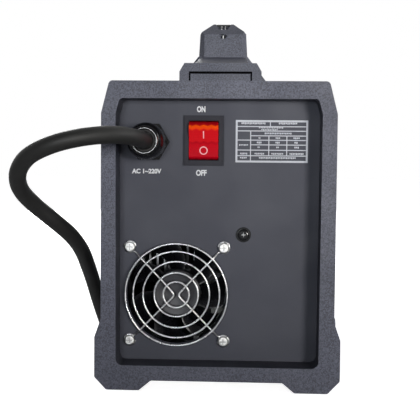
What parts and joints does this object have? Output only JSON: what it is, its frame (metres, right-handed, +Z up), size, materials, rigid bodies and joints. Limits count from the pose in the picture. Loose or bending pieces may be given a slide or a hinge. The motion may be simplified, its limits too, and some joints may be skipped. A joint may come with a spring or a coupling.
{
  "type": "plasma cutter unit",
  "caption": "Upright inverter power unit for plasma cutting with moulded end frames, carrying handle, guarded fan, rocker switch and a coiled mains cord.",
  "frame": {"origin": "on the floor, under the middle of the case", "axes": "the mains side faces -Y, the control side faces +Y, +Z is up and +X is to the right seen from the mains side"},
  "size_m": [0.2607, 0.6268, 0.2875],
  "materials": {
    "aluminium": "extruded",
    "amber_plastic": "translucent lens",
    "black_plastic": "glossy",
    "black_rubber": "matte",
    "black_steel": "black oxide",
    "blue_plastic": "glossy sleeve",
    "brass": "turned",
    "bright_wire": "bright plated",
    "cast_aluminium": "die cast",
    "charcoal_plastic": "fine moulded texture",
    "copper_winding": "enamelled winding wire",
    "cord_rubber": "satin sheath",
    "cover_paint": "fine powder coat",
    "dark_plastic": "matte",
    "ferrite": "matte",
    "green_laminate": "solder mask",
    "hose_rubber": "satin",
    "panel_paint": "matte powder coat",
    "red_plastic": "glossy, lit from inside when on",
    "yellow_plastic": "glossy",
    "zinc_steel": "zinc plated"
  },
  "bodies": {
    "chassis": {"rear_bezel": "charcoal_plastic", "front_bezel": "charcoal_plastic", "rear_panel": "panel_paint", "front_panel": "panel_paint", "cover": "cover_paint", "base_tray": "cover_paint", "inner_frame": "zinc_steel", "side_screws": "black_steel", "cover_screws": "black_steel", "panel_screw": "black_steel", "handle": "charcoal_plastic", "handle_pad": "black_rubber", "handle_screws": "zinc_steel", "fan_frame": "dark_plastic", "fan_guard": "bright_wire", "guard_wires": "bright_wire", "guard_screws": "zinc_steel", "guard_nuts": "zinc_steel", "switch_frame": "dark_plastic", "switch_terminals": "brass", "gland_body": "black_plastic", "gland_nut": "black_plastic", "gland_cap": "black_plastic", "gland_seal": "black_rubber", "power_cord": "cord_rubber", "cord_coil": "cord_rubber", "plug_body": "black_rubber", "plug_pins": "brass", "display_window": "black_plastic", "potentiometer": "zinc_steel", "indicator_lamps": "amber_plastic", "button_bases": "bright_wire", "work_socket": "dark_plastic", "work_contact": "brass", "torch_connector": "brass", "trigger_socket": "bright_wire", "control_board": "green_laminate", "power_board": "green_laminate", "board_posts": "brass", "heat_sinks": "aluminium", "power_modules": "dark_plastic", "capacitors": "blue_plastic", "transformer_core": "ferrite", "transformer_coil": "copper_winding", "output_inductor": "copper_winding", "mains_filter": "zinc_steel", "compressor_motor": "cast_aluminium", "compressor_crankcase": "cast_aluminium", "compressor_head": "aluminium", "compressor_plate": "zinc_steel", "compressor_feet": "black_rubber", "air_valve": "brass", "air_hose": "hose_rubber"},
    "fan_rotor": {"fan_rotor": "dark_plastic"},
    "rocker": {"rocker": "red_plastic"},
    "current_knob": {"current_knob": "dark_plastic"},
    "mode_button": {"mode_button": "yellow_plastic"},
    "air_button": {"air_button": "red_plastic"},
    "compressor_rotor": {"compressor_rotor": "zinc_steel"}
  },
  "joints": [
    {"name": "fan_spin", "type": "hinge", "parent": "chassis", "child": "fan_rotor", "pos_m": [-0.0315, -0.16, 0.0692], "axis": [0, 1, 0], "continuous": true},
    {"name": "power_switch", "type": "hinge", "parent": "chassis", "child": "rocker", "pos_m": [-0.0118, -0.1668, 0.1858], "axis": [1, 0, 0], "range_deg": [-22, 0]},
    {"name": "current_dial", "type": "hinge", "parent": "chassis", "child": "current_knob", "pos_m": [0, 0.175, 0.122], "axis": [0, 1, 0], "range_deg": [-135, 135]},
    {"name": "mode_press", "type": "slide", "parent": "chassis", "child": "mode_button", "axis": [0, -1, 0], "range_m": [0, 0.0018], "stiffness_N_per_m": 500, "springref_m": -0.002},
    {"name": "air_press", "type": "slide", "parent": "chassis", "child": "air_button", "axis": [0, -1, 0], "range_m": [0, 0.0018], "stiffness_N_per_m": 500, "springref_m": -0.002},
    {"name": "compressor_spin", "type": "hinge", "parent": "chassis", "child": "compressor_rotor", "pos_m": [0.012, 0.03, 0.066], "axis": [0, 1, 0], "continuous": true}
  ]
}
